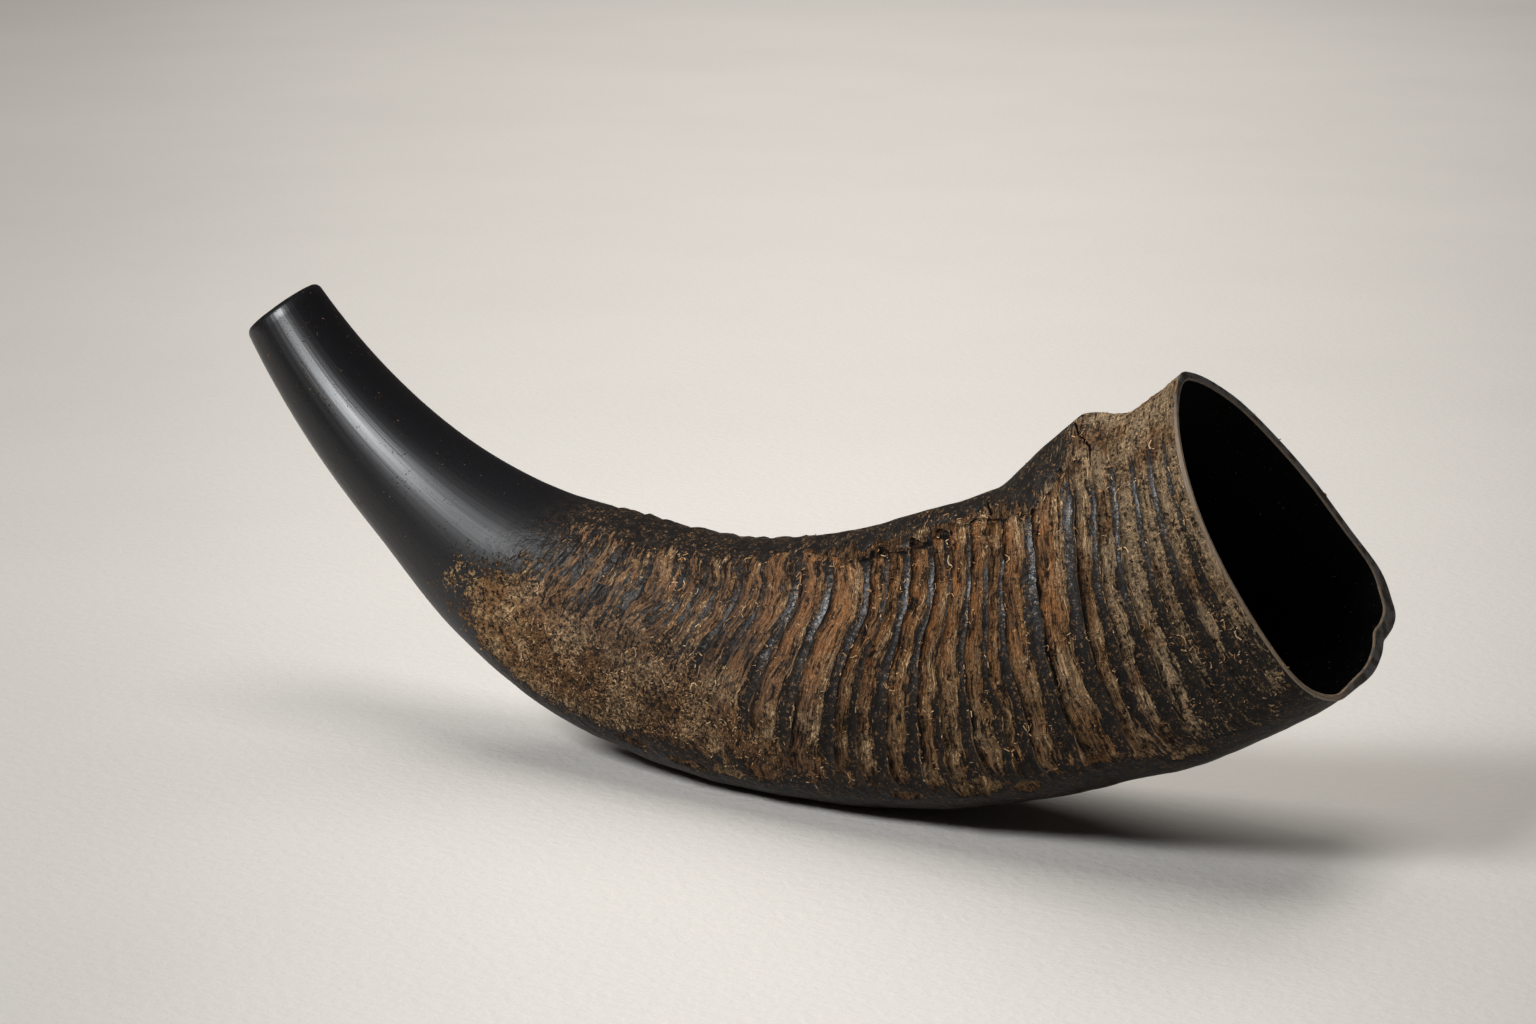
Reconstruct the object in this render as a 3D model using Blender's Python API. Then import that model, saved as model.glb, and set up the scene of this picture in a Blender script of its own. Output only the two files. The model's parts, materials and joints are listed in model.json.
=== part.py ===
"""A buffalo horn lying on its belly: one solid of horn, curved in one plane,
solid at the cut tip and hollow from the open mouth. Metres, +Z up.

X runs along the horn from the tip (-X) to the mouth (+X); the ridged side
faces -Y. Each cross-section stands in its own leaning plane, where p is the
sideways direction (+Y) and q the direction from belly to back.
"""
import math

import bmesh
import bpy
import numpy as np

MM = 0.001

# ---- the line the horn grew along: one arc in the XZ plane
SPINE_RADIUS = 241.0
SPINE_TIP_DEG = -53.8          # angle from straight down, at the tip cut
SPINE_MOUTH_DEG = 45.0         # and at the mouth
# ---- how far each cross-section leans from upright
LEAN_TIP_DEG = -54.0
LEAN_MOUTH_DEG = 30.0
TIP_CUT_TURN_DEG = 9.0         # the saw cut is not quite square to the horn
TIP_CUT_REACH = 0.15           # share of the horn over which that turn fades out
TIP_EDGE_ROUND = 2.0
TIP_EDGE_STEPS = 4
RIM_EDGE_ROUND = 0.7

# ---- reach of the outside from the line: t, back, belly, near side, far side,
#      and how much of the mouth's outline (0 = plain ellipse)
OUTSIDE = (
    (0.00, 15.0, 14.5, 14.5, 14.5, 0.00),
    (0.10, 19.0, 17.5, 18.0, 18.0, 0.00),
    (0.20, 24.0, 21.5, 22.0, 22.0, 0.05),
    (0.30, 30.5, 31.0, 28.0, 28.0, 0.15),
    (0.40, 38.0, 38.0, 32.0, 34.0, 0.30),
    (0.50, 41.5, 40.0, 35.0, 40.0, 0.50),
    (0.60, 46.0, 42.0, 36.0, 44.0, 0.70),
    (0.70, 50.0, 44.5, 36.0, 47.0, 0.85),
    (0.78, 50.0, 46.5, 36.0, 49.0, 0.95),
    (0.84, 56.0, 48.5, 36.0, 51.0, 1.00),
    (0.885, 57.5, 52.0, 35.7, 53.0, 1.00),
    (0.94, 49.0, 55.5, 34.6, 54.0, 1.00),
    (1.00, 47.0, 58.5, 34.5, 55.0, 1.00),
)
# ---- the same for the hollow, from its blind end to the mouth
HOLLOW = (
    (0.48, 12.0, 12.0, 10.0, 12.0, 0.50),
    (0.60, 22.0, 22.0, 17.0, 23.0, 0.70),
    (0.75, 31.0, 31.0, 24.0, 33.0, 0.90),
    (0.88, 39.0, 43.0, 29.5, 42.0, 1.00),
    (1.00, 43.0, 55.0, 32.5, 48.5, 1.00),
)
HOLLOW_END_LENGTH = 9.0        # the rounded blind end beyond the first row
HOLLOW_END_STEPS = 4
HOLLOW_END_POINT = 0.8         # how far its last point stands beyond the last row
# ---- the mouth's outline on unit reaches, going round from the back over the
#      far side (+p) to the belly and up the near side
MOUTH_OUTLINE = (
    (-0.12, 1.00), (0.31, 0.78), (0.65, 0.31), (0.91, -0.24),
    (1.04, -0.58), (0.84, -0.83), (0.38, -0.94), (-0.14, -1.00),
    (-0.69, -0.80), (-0.97, -0.26), (-0.93, 0.26), (-0.62, 0.72),
)
AROUND = 44
OUTSIDE_ROWS = 62
HOLLOW_ROWS = 20
REST_FLAT_DEPTH = 1.4          # how much of the belly is worn flat where it rests


def hermite(rows, t, column):
    """Smooth value of one column at t, never overshooting its neighbours."""
    xs = np.array([r[0] for r in rows])
    ys = np.array([r[column] for r in rows])
    h = np.diff(xs)
    d = np.diff(ys) / h
    m = np.empty(len(xs))
    m[0], m[-1] = d[0], d[-1]
    for i in range(1, len(xs) - 1):
        if d[i - 1] * d[i] <= 0.0:
            m[i] = 0.0
        else:
            w1, w2 = 2 * h[i] + h[i - 1], h[i] + 2 * h[i - 1]
            m[i] = (w1 + w2) / (w1 / d[i - 1] + w2 / d[i])
    t = min(max(t, xs[0]), xs[-1])
    i = min(int(np.searchsorted(xs, t, side="right")) - 1, len(h) - 1)
    u = (t - xs[i]) / h[i]
    return ((1 + 2 * u) * (1 - u) ** 2 * ys[i] + u * (1 - u) ** 2 * h[i] * m[i]
            + u * u * (3 - 2 * u) * ys[i + 1] + u * u * (u - 1) * h[i] * m[i + 1])


def closed_curve(points, count):
    """Points evenly through a closed smooth curve over the given points."""
    pts = np.array(points)
    n = len(pts)
    out = []
    for k in range(count):
        x = k * n / count
        i = int(x)
        u = x - i
        a, b, c, d = (pts[(i + j) % n] for j in (-1, 0, 1, 2))
        out.append(0.5 * (2 * b + (c - a) * u + (2 * a - 5 * b + 4 * c - d) * u * u
                          + (3 * b - a - 3 * c + d) * u ** 3))
    return np.array(out)


def outline(rows, t):
    """The (p, q) outline of a cross-section, in millimetres."""
    back, belly, near, far, share = (hermite(rows, t, c) for c in range(1, 6))
    turn = np.linspace(0.5 * math.pi, -1.5 * math.pi, len(MOUTH_OUTLINE), endpoint=False)
    ellipse = np.stack((np.cos(turn), np.sin(turn)), axis=1)
    unit = closed_curve((1 - share) * ellipse + share * np.array(MOUTH_OUTLINE), AROUND)
    p = np.where(unit[:, 0] > 0, unit[:, 0] * far, unit[:, 0] * near)
    q = np.where(unit[:, 1] > 0, unit[:, 1] * back, unit[:, 1] * belly)
    return np.stack((p, q), axis=1)


def lean_at(t):
    """The angle in radians by which the cross-section at t leans."""
    return math.radians(LEAN_TIP_DEG + (LEAN_MOUTH_DEG - LEAN_TIP_DEG) * t)


def place(pq, t, along=0.0):
    """A cross-section's points in space; `along` shifts it towards the mouth."""
    f = math.radians(SPINE_TIP_DEG + (SPINE_MOUTH_DEG - SPINE_TIP_DEG) * t)
    lean = lean_at(t)
    turn = math.radians(TIP_CUT_TURN_DEG) * max(0.0, 1.0 - t / TIP_CUT_REACH)
    n = np.array([math.cos(lean), 0.0, math.sin(lean)])
    up = np.array([-math.sin(lean), 0.0, math.cos(lean)])
    side = np.array([0.0, math.cos(turn), 0.0]) - n * math.sin(turn)
    centre = SPINE_RADIUS * np.array([math.sin(f), 0.0, -math.cos(f)])
    return (centre + along * n + np.outer(pq[:, 0], side) + np.outer(pq[:, 1], up)) * MM


def shrunk(pq, by):
    """An outline drawn in by a fixed distance towards its middle."""
    mid = pq.mean(axis=0)
    d = pq - mid
    r = np.linalg.norm(d, axis=1, keepdims=True)
    return mid + d * np.maximum(r - by, 0.0) / r


def outside_rings():
    """From the tip's cut face, over its rounded edge, to the rim of the mouth."""
    rings = []
    tip = outline(OUTSIDE, 0.0)
    for k in range(TIP_EDGE_STEPS):
        a = 0.5 * math.pi * k / TIP_EDGE_STEPS
        rings.append(place(shrunk(tip, TIP_EDGE_ROUND * (1 - math.sin(a))), 0.0,
                           TIP_EDGE_ROUND * (1 - math.cos(a))))
    length = SPINE_RADIUS * math.radians(SPINE_MOUTH_DEG - SPINE_TIP_DEG)
    for t in np.linspace(TIP_EDGE_ROUND / length, 1.0, OUTSIDE_ROWS)[:-1]:
        rings.append(place(outline(OUTSIDE, t), t))
    mouth = outline(OUTSIDE, 1.0)
    rings.append(place(mouth, 1.0, -RIM_EDGE_ROUND))
    rings.append(place(shrunk(mouth, RIM_EDGE_ROUND), 1.0))
    return rings


def hollow_rings():
    """From the rim of the mouth inwards to the rounded blind end."""
    mouth = outline(HOLLOW, 1.0)
    rings = [place(shrunk(mouth, -RIM_EDGE_ROUND), 1.0), place(mouth, 1.0, -RIM_EDGE_ROUND)]
    end = HOLLOW[0][0]
    for t in np.linspace(1.0, end, HOLLOW_ROWS)[1:]:
        rings.append(place(outline(HOLLOW, t), t))
    last = outline(HOLLOW, end)
    middle = last.mean(axis=0)
    for k in range(1, HOLLOW_END_STEPS):
        a = 0.5 * math.pi * k / HOLLOW_END_STEPS
        rings.append(place(middle + (last - middle) * math.cos(a), end,
                           -HOLLOW_END_LENGTH * math.sin(a)))
    return rings


def close_end(bm, loop, push=(0.0, 0.0, 0.0)):
    """A fan over an end loop, to its middle moved by `push`."""
    middle = np.mean([np.array(v.co) for v in loop], axis=0) + np.array(push)
    centre = bm.verts.new(middle)
    for a, b in zip(loop, loop[1:] + loop[:1]):
        bm.faces.new((a, b, centre))


def cut_rest_flat(bm):
    """The belly is cut level where the horn rests; returns the cut's height."""
    level = min(v.co.z for v in bm.verts) + REST_FLAT_DEPTH * MM
    cut = bmesh.ops.bisect_plane(bm, geom=bm.verts[:] + bm.edges[:] + bm.faces[:],
                                 plane_co=(0, 0, level), plane_no=(0, 0, -1),
                                 clear_outer=True, dist=1e-7)
    edge = [g for g in cut["geom_cut"] if isinstance(g, bmesh.types.BMEdge)]
    bmesh.ops.contextual_create(bm, geom=edge)
    return level


def build():
    bm = bmesh.new()
    loops = [[bm.verts.new(v) for v in ring] for ring in outside_rings() + hollow_rings()]
    for a, b in zip(loops, loops[1:]):
        for k in range(AROUND):
            j = (k + 1) % AROUND
            bm.faces.new((a[k], a[j], b[j], b[k]))
    close_end(bm, loops[0])
    lean = lean_at(HOLLOW[0][0])
    close_end(bm, loops[-1], np.array([math.cos(lean), 0.0, math.sin(lean)])
              * -HOLLOW_END_POINT * MM)
    level = cut_rest_flat(bm)
    bmesh.ops.recalc_face_normals(bm, faces=bm.faces)
    # the middle of the bounding box's bottom becomes the origin
    xs = [v.co.x for v in bm.verts]
    ys = [v.co.y for v in bm.verts]
    shift = (-(min(xs) + max(xs)) / 2, -(min(ys) + max(ys)) / 2, -level)
    bmesh.ops.translate(bm, verts=bm.verts, vec=shift)
    return bm


def horn_material():
    mat = bpy.data.materials.new("horn_black")
    mat.use_nodes = True
    shader = mat.node_tree.nodes["Principled BSDF"]
    shader.inputs["Base Color"].default_value = (0.030, 0.026, 0.024, 1.0)
    shader.inputs["Roughness"].default_value = 0.35
    return mat


def main():
    for ob in list(bpy.data.objects):
        bpy.data.objects.remove(ob, do_unlink=True)
    bm = build()
    mesh = bpy.data.meshes.new("horn")
    bm.to_mesh(mesh)
    bm.free()
    for poly in mesh.polygons:
        poly.use_smooth = True
    mesh.materials.append(horn_material())
    ob = bpy.data.objects.new("horn", mesh)
    bpy.context.scene.collection.objects.link(ob)


main()
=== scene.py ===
"""Buffalo horn: the polished tip, the ridged and crusted flank and the open mouth,
grown over the plain body, with its stage. Metres, +Z up.

The skin is a grid of rings along the horn. `along` is the distance from the tip in
millimetres; `around` goes from the back (0) over the far side and the belly (0.5) up the
near side to the back again (1). `flank` is 0 on the belly and 1 on the back.
"""
import json
import math

import bpy
import numpy as np
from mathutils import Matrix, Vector

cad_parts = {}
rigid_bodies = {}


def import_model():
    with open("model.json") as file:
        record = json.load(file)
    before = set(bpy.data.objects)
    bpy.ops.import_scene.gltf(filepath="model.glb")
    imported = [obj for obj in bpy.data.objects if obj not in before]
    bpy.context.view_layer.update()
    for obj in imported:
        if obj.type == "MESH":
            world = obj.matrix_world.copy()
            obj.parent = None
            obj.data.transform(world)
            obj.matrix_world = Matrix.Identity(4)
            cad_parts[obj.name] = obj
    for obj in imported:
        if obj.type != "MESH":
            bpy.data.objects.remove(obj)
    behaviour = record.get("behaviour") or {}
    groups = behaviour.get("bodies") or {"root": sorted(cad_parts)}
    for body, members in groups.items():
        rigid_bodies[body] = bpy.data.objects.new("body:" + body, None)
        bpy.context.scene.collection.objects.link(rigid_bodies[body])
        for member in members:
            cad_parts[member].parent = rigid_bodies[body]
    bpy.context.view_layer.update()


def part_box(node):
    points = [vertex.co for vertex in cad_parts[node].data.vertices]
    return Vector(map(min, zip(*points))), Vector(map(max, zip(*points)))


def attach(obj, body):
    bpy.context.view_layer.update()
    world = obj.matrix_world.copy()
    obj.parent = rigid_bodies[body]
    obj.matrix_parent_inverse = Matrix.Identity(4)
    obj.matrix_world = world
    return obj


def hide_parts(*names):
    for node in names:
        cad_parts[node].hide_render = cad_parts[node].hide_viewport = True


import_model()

HORN_LOW, HORN_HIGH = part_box("horn")

bl_info = {
    "name": "Buffalo horn",
    "version": (1, 0, 0),
    "blender": (4, 5, 0),
    "location": "3D View > Sidebar > Horn",
    "description": "A buffalo horn with its growth ridges, crust, fibres and hollow mouth",
    "category": "Add Mesh",
}

MM = 0.001

# ---- the line the horn grew along, and how its rings lean (degrees, millimetres)
SPINE_RADIUS = 241.0
SPINE_TIP, SPINE_MOUTH = -53.8, 45.0
LEAN_TIP, LEAN_MOUTH = -54.0, 30.0
TIP_CUT_TURN, TIP_CUT_REACH = 9.0, 0.15
LENGTH = SPINE_RADIUS * math.radians(SPINE_MOUTH - SPINE_TIP)
GIRTH = 290.0  # round the thick part, mm
GRAIN_RADIUS = 42.0  # of the cylinder that the growth lines are drawn on, mm
# ---- reach of the outside from the line: share of length, back, belly, near, far,
#      and how much of the mouth's outline (0 = plain ellipse)
OUTSIDE = (
    (0.00, 15.0, 14.5, 14.5, 14.5, 0.00),
    (0.10, 19.0, 17.5, 18.0, 18.0, 0.00),
    (0.20, 24.0, 21.5, 22.0, 22.0, 0.05),
    (0.30, 30.5, 31.0, 28.0, 28.0, 0.15),
    (0.40, 38.0, 38.0, 32.0, 34.0, 0.30),
    (0.50, 41.5, 40.0, 35.0, 40.0, 0.50),
    (0.60, 46.0, 42.0, 36.0, 44.0, 0.70),
    (0.70, 50.0, 44.5, 36.0, 47.0, 0.85),
    (0.78, 50.0, 46.5, 36.0, 49.0, 0.95),
    (0.84, 56.0, 48.5, 36.0, 51.0, 1.00),
    (0.885, 57.5, 52.0, 35.7, 53.0, 1.00),
    (0.94, 49.0, 55.5, 34.6, 54.0, 1.00),
    (1.00, 47.0, 58.5, 34.5, 55.0, 1.00),
)
HOLLOW = (
    (0.48, 12.0, 12.0, 10.0, 12.0, 0.50),
    (0.60, 22.0, 22.0, 17.0, 23.0, 0.70),
    (0.75, 31.0, 31.0, 24.0, 33.0, 0.90),
    (0.88, 39.0, 43.0, 29.5, 42.0, 1.00),
    (1.00, 43.0, 55.0, 32.5, 48.5, 1.00),
)
MOUTH_OUTLINE = (
    (-0.12, 1.00), (0.31, 0.78), (0.65, 0.31), (0.91, -0.24),
    (1.04, -0.58), (0.84, -0.83), (0.38, -0.94), (-0.14, -1.00),
    (-0.69, -0.80), (-0.97, -0.26), (-0.93, 0.26), (-0.62, 0.72),
)
# ---- the growth ridges: distance along in mm, half width in mm, height share
RIDGES = (
    (147, 2.6, 0.7), (158, 2.2, 0.6), (166, 2.4, 0.8), (171, 1.8, 0.6), (181, 2.8, 0.9),
    (191, 2.2, 0.7), (199.5, 3.0, 0.9), (206, 2.2, 0.7), (214.5, 3.0, 1.0),
    (224.5, 2.6, 0.8), (239, 3.4, 1.0), (253, 3.4, 1.0), (269, 3.6, 1.0),
    (278, 2.6, 0.8), (287, 3.4, 1.0), (298, 3.2, 1.0), (307, 2.6, 0.8),
    (317, 3.2, 1.0), (327, 2.6, 0.9), (335, 3.0, 1.0), (348, 4.2, 1.1),
    (363, 3.6, 1.0), (372, 2.6, 0.9), (380.5, 2.6, 1.0), (391, 2.6, 1.0),
    (400, 2.4, 1.0), (408, 2.0, 0.8),
)
RIDGE_SWAY = 13.0  # how far the ridges bow towards the mouth, mm
# ---- tan crust left on the smooth belly margin: share of length, around, half sizes mm
PATCHES = (
    (0.480, 0.660, 6.0, 2.5), (0.530, 0.660, 6.5, 3.0), (0.560, 0.665, 5.5, 3.0),
    (0.595, 0.680, 6.0, 3.5), (0.755, 0.665, 7.0, 4.5), (0.790, 0.650, 4.5, 3.5),
    (0.845, 0.690, 6.0, 6.0), (0.700, 0.660, 4.0, 2.5), (0.910, 0.640, 7.0, 3.5),
    (0.520, 0.340, 7.0, 3.0), (0.640, 0.330, 5.0, 3.5), (0.780, 0.345, 7.0, 4.0),
)
# ---- knocks in the mouth's far lower corner: around, half width around, outwards in mm
RIM_KNOCKS = ((0.387, 0.020, 1.5), (0.438, 0.017, -1.9), (0.498, 0.034, 2.3))
RIM_KNOCK_DEPTH = 20.0  # how far in from the rim they reach, mm
# ---- width of the mouth's cut face in mm, by the way round
RIM_WALL = (
    (0.00, 2.8), (0.25, 4.0), (0.395, 6.5), (0.47, 4.5), (0.60, 1.8),
    (0.75, 1.2), (0.90, 1.5), (1.00, 2.8),
)
# ---- cracks in the back: share of length and around, from end to end
CRACKS = (
    ((0.884, 0.985), (0.893, 0.962)), ((0.893, 0.962), (0.906, 0.945)),
    ((0.906, 0.945), (0.908, 0.925)), ((0.783, 0.968), (0.789, 0.950)),
)


def hermite(rows, t, column):
    """Smooth values of one table column at every t, never overshooting."""
    xs = np.array([r[0] for r in rows])
    ys = np.array([r[column] for r in rows])
    h = np.diff(xs)
    d = np.diff(ys) / h
    m = np.empty(len(xs))
    m[0], m[-1] = d[0], d[-1]
    for i in range(1, len(xs) - 1):
        w1, w2 = 2 * h[i] + h[i - 1], h[i] + 2 * h[i - 1]
        turns = d[i - 1] * d[i] <= 0.0
        m[i] = 0.0 if turns else (w1 + w2) / (w1 / d[i - 1] + w2 / d[i])
    t = np.clip(t, xs[0], xs[-1])
    i = np.minimum(np.searchsorted(xs, t, side="right") - 1, len(h) - 1)
    x = (t - xs[i]) / h[i]
    return ((1 + 2 * x) * (1 - x) ** 2 * ys[i] + x * (1 - x) ** 2 * h[i] * m[i]
            + x * x * (3 - 2 * x) * ys[i + 1] + x * x * (x - 1) * h[i] * m[i + 1])


def outlines(rows, t, around):
    """The (p, q) outline of every ring, in mm: an array of rings x columns x 2."""
    back, belly, near, far, share = (hermite(rows, t, c)[:, None] for c in range(1, 6))
    count = len(MOUTH_OUTLINE)
    turn = np.linspace(0.5 * math.pi, -1.5 * math.pi, count, endpoint=False)
    ellipse = np.stack((np.cos(turn), np.sin(turn)), axis=1)
    knots = ((1 - share[:, :, None]) * ellipse + share[:, :, None] * np.array(MOUTH_OUTLINE))
    x = around * count
    i = np.floor(x).astype(int)
    f = (x - i)[None, :, None]
    a, b, c, d = (knots[:, (i + j) % count] for j in (-1, 0, 1, 2))
    unit = 0.5 * (2 * b + (c - a) * f + (2 * a - 5 * b + 4 * c - d) * f ** 2
                  + (3 * b - a - 3 * c + d) * f ** 3)
    p = np.where(unit[..., 0] > 0, unit[..., 0] * far, unit[..., 0] * near)
    q = np.where(unit[..., 1] > 0, unit[..., 1] * back, unit[..., 1] * belly)
    return np.stack((p, q), axis=2)


def knocked(pq, t, around):
    """Outlines near the mouth with the rim's knocks pressed in or out."""
    out = sum(height * np.exp(-((around - at) / half) ** 2) for at, half, height in RIM_KNOCKS)
    x = np.clip(1 - (1 - t) * LENGTH / RIM_KNOCK_DEPTH, 0.0, 1.0)
    return shrunk(pq, -out * (x * x * (3 - 2 * x))[:, None])


def place(pq, t, onward=0.0):
    """Rings of outline points in space, in metres; `onward` shifts them to the mouth."""
    f = np.radians(SPINE_TIP + (SPINE_MOUTH - SPINE_TIP) * t)[:, None, None]
    lean = np.radians(LEAN_TIP + (LEAN_MOUTH - LEAN_TIP) * t)[:, None, None]
    turn = math.radians(TIP_CUT_TURN) * np.maximum(0.0, 1 - t / TIP_CUT_REACH)[:, None, None]
    x, y, z = np.eye(3)
    n = np.cos(lean) * x + np.sin(lean) * z
    up = np.cos(lean) * z - np.sin(lean) * x
    side = np.cos(turn) * y - np.sin(turn) * n
    centre = SPINE_RADIUS * (np.sin(f) * x - np.cos(f) * z)
    shift = np.broadcast_to(onward, t.shape)[:, None, None] * n
    return (centre + shift + pq[..., :1] * side + pq[..., 1:] * up) * MM


def shrunk(pq, by):
    """Outlines drawn in by a fixed distance towards their middles."""
    mid = pq.mean(axis=1, keepdims=True)
    d = pq - mid
    r = np.linalg.norm(d, axis=2, keepdims=True)
    return mid + d * np.maximum(r - np.asarray(by).reshape(len(pq), -1, 1), 0.0) / r


# -------- node helpers


def arithmetic(operation, swapped=False):
    """A method that adds one Math node; `swapped` when the wire stands on the right."""
    def method(wire, other):
        return wire.tree.math(operation, *((other, wire) if swapped else (wire, other)))
    return method


class Wire:
    """A value on its way through a node tree; arithmetic on it adds Math nodes."""

    def __init__(self, tree, socket):
        self.tree, self.socket = tree, socket

    def __neg__(self):
        return self * -1.0

    def __abs__(self):
        return self.tree.math("ABSOLUTE", self)

    __add__ = __radd__ = arithmetic("ADD")
    __mul__ = __rmul__ = arithmetic("MULTIPLY")
    __sub__, __rsub__ = arithmetic("SUBTRACT"), arithmetic("SUBTRACT", swapped=True)
    __truediv__ = arithmetic("DIVIDE")


class Tree:
    """Adds nodes to one node tree, of geometry or of a material."""

    def __init__(self, tree):
        self.tree = tree

    def node(self, kind, links=(), **settings):
        """A new node with its settings; `links` are (input, value) pairs."""
        n = self.tree.nodes.new(kind)
        place_in_row = len(self.tree.nodes)
        n.location = (180 * (place_in_row % 12), -220 * (place_in_row // 12))
        for name, value in settings.items():
            setattr(n, name, value)
        for name, value in links:
            self.join(n.inputs[name], value)
        return n

    def join(self, socket, value):
        """Wires a value to a socket, or sets the socket to a plain value."""
        if isinstance(value, Wire):
            self.tree.links.new(value.socket, socket)
        elif value is not None:
            socket.default_value = value

    def out(self, node, name=0):
        return Wire(self, node.outputs[name])

    def math(self, operation, *values, clamp=False):
        n = self.node("ShaderNodeMath", enumerate(values), operation=operation,
                      use_clamp=clamp)
        return self.out(n)

    def highest(self, a, b):
        return self.math("MAXIMUM", a, b)

    def clamp(self, a):
        return self.math("MULTIPLY", a, 1.0, clamp=True)

    def step(self, x, low, high, to_low=0.0, to_high=1.0, smooth=True):
        """x brought from low..high to to_low..to_high, clamped."""
        kind = "SMOOTHSTEP" if smooth else "LINEAR"
        n = self.node("ShaderNodeMapRange",
                      enumerate((x, low, high, to_low, to_high)),
                      interpolation_type=kind, clamp=True)
        return self.out(n)

    def curve(self, x, *points, top=1.0):
        """A smooth line through (x, y) points; y may go up to `top`."""
        low, high = points[0][0], points[-1][0]
        share = self.step(x, low, high, smooth=False)
        n = self.node("ShaderNodeFloatCurve", (("Value", share),))
        line = n.mapping.curves[0]
        for i, (a, b) in enumerate(points):
            at = ((a - low) / (high - low), b / top)
            if i == 0:
                line.points[0].location = at
            elif i == len(points) - 1:
                line.points[-1].location = at
            else:
                line.points.new(*at)
        n.mapping.update()
        return self.out(n) * top

    def vector(self, x, y, z):
        return self.out(self.node("ShaderNodeCombineXYZ", enumerate((x, y, z))))

    def scaled(self, vector, by):
        n = self.node("ShaderNodeVectorMath", ((0, vector), ("Scale", by)), operation="SCALE")
        return self.out(n)

    def stretched(self, vector, by):
        n = self.node("ShaderNodeVectorMath", ((0, vector), (1, by)), operation="MULTIPLY")
        return self.out(n)

    def noise(self, vector, scale, detail=2.0, roughness=0.5, bend=0.0):
        """Smooth noise of 0..1 round a half."""
        n = self.node("ShaderNodeTexNoise",
                      (("Vector", vector), ("Scale", scale), ("Detail", detail),
                       ("Roughness", roughness), ("Distortion", bend)))
        return self.out(n, "Fac")

    def grained(self, grain, on, across, detail=2.0, roughness=0.5):
        """Noise drawn out along the growth lines."""
        return self.noise(self.stretched(grain, (on, across, across)), 1.0, detail, roughness)

    def mix(self, a, b, share):
        """A colour or value from a (share 0) to b (share 1)."""
        plain = isinstance(a, (Wire, float)) and isinstance(b, (Wire, float))
        if not plain or getattr(a, "colour", False):
            n = self.node("ShaderNodeMix", ((0, share), (6, rgba(a)), (7, rgba(b))),
                          data_type="RGBA", clamp_factor=True)
            made = self.out(n, 2)
            made.colour = True
            return made
        n = self.node("ShaderNodeMix", ((0, share), (2, a), (3, b)),
                      data_type="FLOAT", clamp_factor=True)
        return self.out(n)


def rgba(colour):
    """A three-part colour as four parts; wires pass through."""
    return colour if isinstance(colour, Wire) else (*colour[:3], 1.0)


NUMBER, MATERIAL = "NodeSocketFloat", "NodeSocketMaterial"


class Growth(Tree):
    """A geometry node tree with named inputs; a bare title is a number's."""

    def __init__(self, name, inputs, outputs=(("Geometry", "NodeSocketGeometry"),)):
        super().__init__(bpy.data.node_groups.new(name, "GeometryNodeTree"))
        self.ids = {}
        for side, sockets in (("INPUT", inputs), ("OUTPUT", outputs)):
            for given in sockets:
                title, kind, *default = (given, NUMBER) if isinstance(given, str) else given
                socket = self.tree.interface.new_socket(title, in_out=side, socket_type=kind)
                if default:
                    socket.default_value = default[0]
                if side == "INPUT":
                    self.ids[title] = socket.identifier
        self.into = self.node("NodeGroupInput")
        self.end = self.node("NodeGroupOutput")

    def given(self, title):
        return self.out(self.into, title)

    def attribute(self, name):
        n = self.node("GeometryNodeInputNamedAttribute", (("Name", name),), data_type="FLOAT")
        return self.out(n, "Attribute")

    def store(self, geometry, name, value, kind="FLOAT"):
        n = self.node("GeometryNodeStoreNamedAttribute",
                      (("Geometry", geometry), ("Name", name), ("Value", value)),
                      data_type=kind, domain="POINT")
        return self.out(n)

    def position_mm(self):
        return self.scaled(self.out(self.node("GeometryNodeInputPosition")), 1000.0)

    def random(self, low, high, seed):
        n = self.node("FunctionNodeRandomValue", ((2, low), (3, high), ("Seed", seed)),
                      data_type="FLOAT")
        return self.out(n, 1)


def grown(obj, growth, values):
    """Runs a tree on an object, and leaves the object with the plain mesh it made."""
    modifier = obj.modifiers.new(growth.tree.name, "NODES")
    modifier.node_group = growth.tree
    for title, value in values.items():
        modifier[growth.ids[title]] = value
    bpy.context.view_layer.update()
    depsgraph = bpy.context.evaluated_depsgraph_get()
    mesh = bpy.data.meshes.new_from_object(obj.evaluated_get(depsgraph), depsgraph=depsgraph)
    obj.modifiers.clear()
    bare = obj.data
    obj.data = mesh
    bpy.data.meshes.remove(bare)
    mesh.name = obj.name
    return mesh


# -------- the skin's rings

TIP_EDGE_ROUND = 2.0
RIM_EDGE_ROUND = 0.5
RIM_FLARE = 24.0  # the hollow widens to the thin rim over this depth
BLIND_END_LENGTH = 9.0
TIP_FACE = (0.25, 0.5, 0.75, 0.9)  # rings on the tip's cut, as shares of its radius
TIP_EDGE_ROWS = 4
SMOOTH_ROWS, RIDGED_ROWS, HOLLOW_ROWS = 36, 470, 24
RIDGED_FROM = 0.28
# places round a ring where the spacing changes, with the columns up to the next place
COLUMNS = ((0.0, 37), (0.37, 24), (0.49, 11), (0.60, 96), (0.955, 5))
SKIN, RIM, RIM_INNER, INSIDE = 0, 1, 1.3, 2


def columns():
    """Places round a ring: close together on the near flank, wider elsewhere."""
    ends = [at for at, _ in COLUMNS[1:]] + [1.0]
    return np.concatenate([np.linspace(at, end, count, endpoint=False)
                           for (at, count), end in zip(COLUMNS, ends)])


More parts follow.
